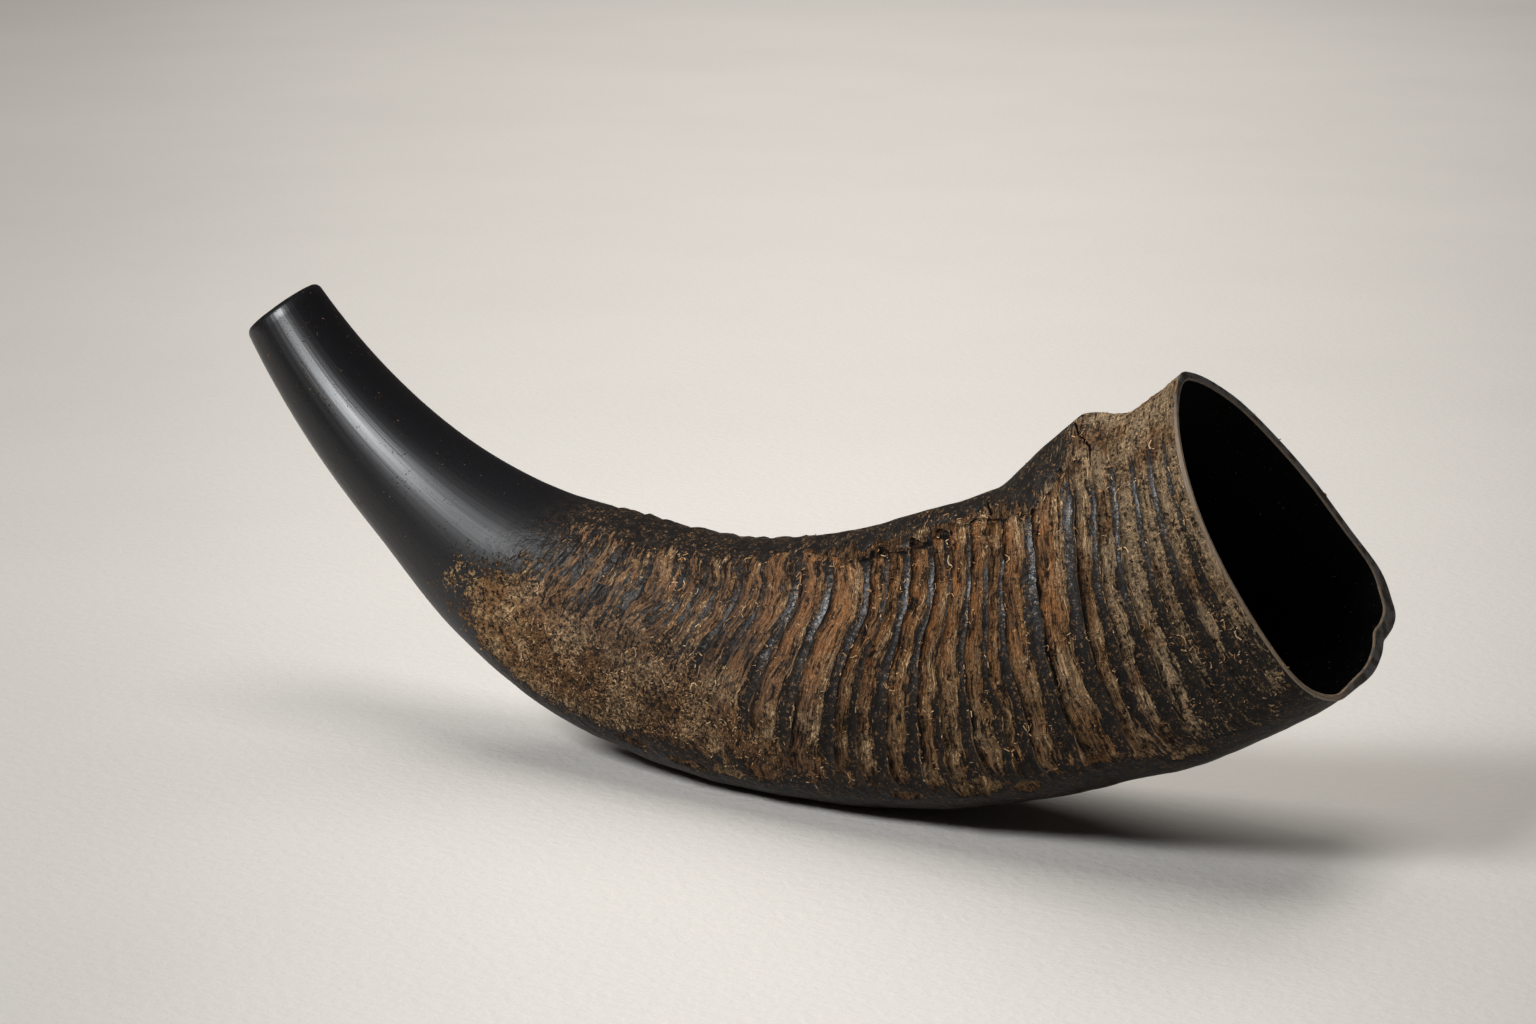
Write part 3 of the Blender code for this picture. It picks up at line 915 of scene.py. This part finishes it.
def hollow_finish(colours):
    """The inside of the horn, painted nearly black as the shade in the deep hollow."""
    f = Finish("hollow")
    spot = f.position_mm()
    speck = f.noise(spot, 0.3, 4.0, 0.6)
    colour = f.mix(colours.hollow_shade_black, colours.polished_black,
                   f.step(speck, 0.5, 0.9))
    dust = f.step(f.noise(spot, 1.0), 0.70, 0.76)
    colour = f.mix(colour, colours.grey_crust, dust * 0.35)
    f.set(Base_Color=colour, Roughness=f.step(speck, 0.3, 0.7, 0.6, 0.8),
          Normal=f.bump(speck, 0.0003), Specular_IOR_Level=0.05)
    return f.material


# -------- settings


def colour(name, description, default):
    return bpy.props.FloatVectorProperty(name=name, description=description, subtype="COLOR",
                                         size=3, min=0.0, max=1.0, default=default)


def number(name, description, default, **kind):
    return bpy.props.FloatProperty(name=name, description=description, default=default, **kind)


def size(name, description, default):
    return number(name, description, default, unit="LENGTH", subtype="DISTANCE", precision=5)


class HornSizes(bpy.types.PropertyGroup):
    """Sizes of the horn's relief"""
    ridge_rise: size("Ridge rise", "How far the ridges stand above the skin", 0.0005)
    groove_depth: size("Groove depth", "How deep the grooves between the ridges are", 0.0019)
    crust_roughness: size("Crust roughness", "Height of the crust's lumps", 0.0005)
    fibre_length: size("Fibre length", "Length of the fibres on the crust", 0.0032)
    fibre_thickness: size("Fibre thickness", "Thickness of the fibres", 0.00034)
    fibres_per_square: number("Fibres per square metre", "How thickly the fibres grow",
                              900000.0)


class HornColours(bpy.types.PropertyGroup):
    """Colours of the horn"""
    polished_black: colour("Polished black", "The polished tip", (0.004, 0.004, 0.005))
    ridge_black: colour("Ridge black", "The smooth dark ridges", (0.009, 0.008, 0.0075))
    worn_black: colour("Worn black", "Rubbed places on the dark horn", (0.017, 0.013, 0.010))
    deep_brown: colour("Deep brown", "The crust in its hollows", (0.022, 0.013, 0.008))
    brown: colour("Brown", "The crust", (0.135, 0.070, 0.035))
    rust: colour("Rust", "The grooves of the upper flank", (0.32, 0.135, 0.045))
    # dark rust: the grooves' darker streaks, and the painted shade deep in the grooves
    dark_rust_and_groove_shade: colour("Dark rust", "The grooves' darker streaks", (0.070, 0.030, 0.013))
    ochre: colour("Ochre", "Darker fibres", (0.34, 0.180, 0.074))
    tan: colour("Tan", "Pale fibres", (0.60, 0.415, 0.230))
    grey_crust: colour("Grey crust", "Weathered crust near the mouth", (0.22, 0.160, 0.105))
    rim_grey: colour("Rim grey", "The cut rim", (0.060, 0.060, 0.061))
    # near black: the painted shade inside the hollow and in the skin's crevices
    hollow_shade_black: colour("Hollow black", "The inside", (0.001, 0.001, 0.001))


class HornStage(bpy.types.PropertyGroup):
    """The floor, the lights and the camera"""
    floor: colour("Floor", "Colour of the floor", (0.545, 0.522, 0.492))
    key_power: number("Key light", "Power of the large light", 41.0, unit="POWER")
    fill: number("Fill", "Strength of the light all round", 0.06)
    azimuth: number("Azimuth", "Camera's way round the horn", math.radians(32), subtype="ANGLE")
    elevation: number("Elevation", "Camera's height angle", math.radians(13), subtype="ANGLE")
    distance: number("Distance", "Camera to horn", 1.15, unit="LENGTH")


# -------- operators


FIBRE_SEED = 3
FLOOR_HALF, FLOOR_GAP = 9.0, 0.0002  # half side, and how far under the horn, m
FLOOR_TURN = math.radians(32)  # which way the floor's painted pool of light opens
WORLD_TINT = (1.0, 0.88, 0.76, 1.0)
LENS, SENSOR = 85.0, 36.0  # mm
CAMERA_AIM = (0.0046, -0.0107, 0.0894)
MIDDLE = (0.0, HORN_LOW.y / 4, 0.09)
# ---- lights: name, aim, azimuth, elevation, distance, width, height, share of the key
#      light's power, tint, and whether gloss shows them
LIGHTS = (
    ("large soft light", MIDDLE, -22, 38, 1.9, 0.62, 0.46, 1.0, (0.97, 0.985, 1.0), True),
    ("overhead soft light", MIDDLE, 90, 87, 2.6, 1.3, 1.3, 1.0, (1.0, 0.97, 0.93), False),
    ("background soft light", (-1.3, 2.2, 0.0), 0, 88, 2.8, 3.0, 3.0, 2.5,
     (1.0, 0.985, 0.965), False),
)


def piece(name, data):
    obj = bpy.data.objects.new(name, data)
    bpy.context.scene.collection.objects.link(obj)
    return obj


class HORN_OT_skin(bpy.types.Operator):
    """Grow the skin: polished tip, ridged flank, rim and hollow"""
    bl_idname = "horn.skin"
    bl_label = "Grow the skin"

    def execute(self, context):
        sizes, colours = context.scene.horn_sizes, context.scene.horn_colours
        skin = piece("horn_skin", skin_mesh())
        grown(skin, relief_tree(), {
            "Ridge rise": sizes.ridge_rise, "Groove depth": sizes.groove_depth,
            "Crust roughness": sizes.crust_roughness, "Floor height": HORN_LOW.z,
            "Skin": skin_finish(colours), "Cut face": cut_finish(colours),
            "Inside": hollow_finish(colours)})
        if not skin.data.polygons:
            raise RuntimeError("the skin did not grow")
        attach(skin, "root")
        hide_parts("horn")
        return {"FINISHED"}


class HORN_OT_fibres(bpy.types.Operator):
    """Sow the short dry fibres that stand on the crust"""
    bl_idname = "horn.fibres"
    bl_label = "Sow the fibres"

    def execute(self, context):
        sizes, colours = context.scene.horn_sizes, context.scene.horn_colours
        skin = bpy.data.objects.get("horn_skin")
        if skin is None:
            raise RuntimeError("grow the skin before its fibres")
        fibres = piece("crust_fibres", skin.data.copy())
        grown(fibres, fibre_tree(), {
            "Length": sizes.fibre_length, "Thickness": sizes.fibre_thickness,
            "Per square metre": sizes.fibres_per_square, "Seed": FIBRE_SEED,
            "Fibre": fibre_finish(colours)})
        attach(fibres, "root")
        return {"FINISHED"}


class HORN_OT_stage(bpy.types.Operator):
    """Lay the floor and set the lights and the camera"""
    bl_idname = "horn.stage"
    bl_label = "Set the stage"

    def execute(self, context):
        stage = context.scene.horn_stage
        f = Finish("pale paper floor")
        spot = f.out(f.node("ShaderNodeTexCoord"), "Object")
        cloud = f.noise(spot, 3.0, 4.0, 0.6)
        grainy = f.noise(spot, 260.0, 2.0, 0.6)
        tone = f.step(cloud * 0.75 + grainy * 0.25, 0.3, 0.7, smooth=False)
        # a painted pool of light, fixed to the floor: a pale wedge that opens away from the horn,
        # with painted shade to its sides and at its narrow end
        turn = f.node("ShaderNodeMapping", (("Vector", spot),
                                            ("Rotation", (0.0, 0.0, -FLOOR_TURN))))
        parts = f.node("ShaderNodeSeparateXYZ", ((0, f.out(turn)),))
        away = f.highest(f.out(parts, 1), -0.6)
        across = f.out(parts, 0) / (away * 0.21 + 0.26) - 0.14
        painted_light_pool = f.curve(across * across, (0.0, 1.0), (0.5, 0.85), (1.0, 0.72), (1.6, 0.66),
                       (3.0, 0.64))
        painted_light_pool = painted_light_pool * f.step(away, -0.3, 0.3, 0.90, 1.0)
        darker = tuple(c * 0.93 for c in stage.floor)
        paper = f.mix(darker, stage.floor, tone)
        # the floor's colour carries the painted pool of light and its painted shade
        f.set(Base_Color=f.mix((0.0, 0.0, 0.0), paper, painted_light_pool), Roughness=0.9,
              Normal=f.bump(grainy, 0.0004), Specular_IOR_Level=0.2)
        mesh = bpy.data.meshes.new("floor")
        corners = [(x * FLOOR_HALF, y * FLOOR_HALF, 0)
                   for x, y in ((-1, -1), (1, -1), (1, 1), (-1, 1))]
        mesh.from_pydata(corners, [], [(0, 1, 2, 3)])
        mesh.materials.append(f.material)
        floor = piece("floor", mesh)
        floor.location.z = HORN_LOW.z - FLOOR_GAP

        for name, aim, azimuth, elevation, distance, wide, tall, share, tint, glossy in LIGHTS:
            lamp = bpy.data.lights.new(name, "AREA")
            lamp.shape, lamp.size, lamp.size_y = "RECTANGLE", wide, tall
            lamp.energy, lamp.color = stage.key_power * share, tint
            light = self.facing(name, lamp, Vector(aim), math.radians(azimuth),
                                math.radians(elevation), distance)
            light.visible_glossy = glossy
        world = bpy.data.worlds.new("soft light")
        world.use_nodes = True
        back = world.node_tree.nodes["Background"]
        back.inputs["Color"].default_value = WORLD_TINT
        back.inputs["Strength"].default_value = stage.fill
        context.scene.world = world
        context.scene.view_settings.view_transform = "Standard"

        lens = bpy.data.cameras.new("camera")
        lens.lens, lens.sensor_width = LENS, SENSOR
        context.scene.camera = self.facing("camera", lens, Vector(CAMERA_AIM), stage.azimuth,
                                           stage.elevation, stage.distance)
        return {"FINISHED"}

    def facing(self, name, data, aim, azimuth, elevation, distance):
        """A light or the camera, set out from the point that it faces; angles in radians."""
        away = Vector((math.sin(azimuth) * math.cos(elevation),
                       -math.cos(azimuth) * math.cos(elevation), math.sin(elevation)))
        obj = piece(name, data)
        obj.location = aim + away * distance
        obj.rotation_euler = (-away).to_track_quat("-Z", "Y").to_euler()
        return obj


class HORN_PT_panel(bpy.types.Panel):
    """Lists the horn's operators and settings"""
    bl_label = "Buffalo horn"
    bl_idname = "HORN_PT_panel"
    bl_space_type = "VIEW_3D"
    bl_region_type = "UI"
    bl_category = "Horn"

    def draw(self, context):
        scene = context.scene
        for group in (scene.horn_sizes, scene.horn_colours, scene.horn_stage):
            box = self.layout.box()
            for name in group.__annotations__:
                box.prop(group, name)
        for kind in OPERATORS:
            self.layout.operator(kind.bl_idname)


SETTINGS = {"horn_sizes": HornSizes, "horn_colours": HornColours, "horn_stage": HornStage}
OPERATORS = (HORN_OT_skin, HORN_OT_fibres, HORN_OT_stage)


def register():
    for kind in (*SETTINGS.values(), *OPERATORS, HORN_PT_panel):
        bpy.utils.register_class(kind)
    for name, kind in SETTINGS.items():
        setattr(bpy.types.Scene, name, bpy.props.PointerProperty(type=kind))


def unregister():
    for name in SETTINGS:
        delattr(bpy.types.Scene, name)
    for kind in (HORN_PT_panel, *reversed(OPERATORS), *reversed(tuple(SETTINGS.values()))):
        bpy.utils.unregister_class(kind)


def main():
    register()
    bpy.ops.horn.skin()
    bpy.ops.horn.fibres()
    bpy.ops.horn.stage()


if __name__ == "__main__":
    main()
